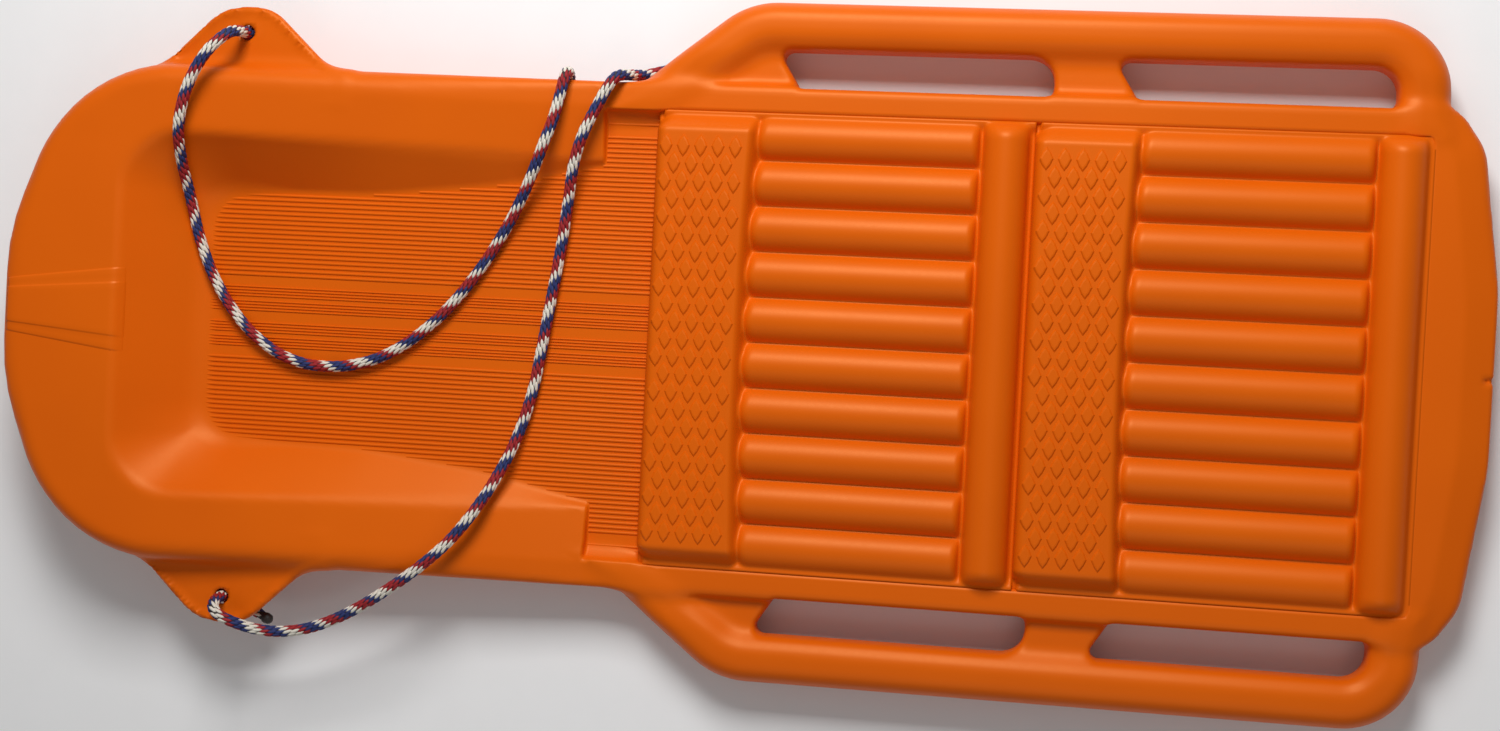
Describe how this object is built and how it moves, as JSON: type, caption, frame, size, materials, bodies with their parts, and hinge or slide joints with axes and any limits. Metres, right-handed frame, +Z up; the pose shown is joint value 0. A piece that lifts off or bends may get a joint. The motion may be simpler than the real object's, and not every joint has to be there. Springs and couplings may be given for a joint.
{
  "type": "snow sled",
  "caption": "Moulded plastic toboggan with a scooped foot well, roll-ribbed seats, side grab rails with hand slots and a braided tow rope.",
  "frame": {"origin": "on the ground under the middle of the body, midway between nose and stern and between the grab rails", "axes": "+X towards the stern, +Y to the riders' right as they face the nose, +Z up"},
  "size_m": [1.194, 0.55, 0.1022],
  "materials": {
    "body_plastic": "satin moulded polyethylene, fine moulded grain",
    "braided_rope": "braided polypropylene in cream, navy and red",
    "melted_end": "melted and blackened rope end"
  },
  "bodies": {
    "root": {"hull_bottom": "body_plastic", "left_runner": "body_plastic", "right_runner": "body_plastic", "nose_rim": "body_plastic", "nose_strip": "body_plastic", "foot_tray": "body_plastic", "seat_deck": "body_plastic", "stern_rim": "body_plastic", "left_grab_rail": "body_plastic", "right_grab_rail": "body_plastic", "left_tow_lug": "body_plastic", "right_tow_lug": "body_plastic", "front_thigh_band": "body_plastic", "front_seat_rolls": "body_plastic", "front_back_bar": "body_plastic", "rear_thigh_band": "body_plastic", "rear_seat_rolls": "body_plastic", "rear_back_bar": "body_plastic", "tow_rope": "braided_rope", "left_knot": "braided_rope", "right_knot": "braided_rope", "left_rope_tail": "melted_end", "right_rope_tail": "melted_end"}
  },
  "joints": []
}
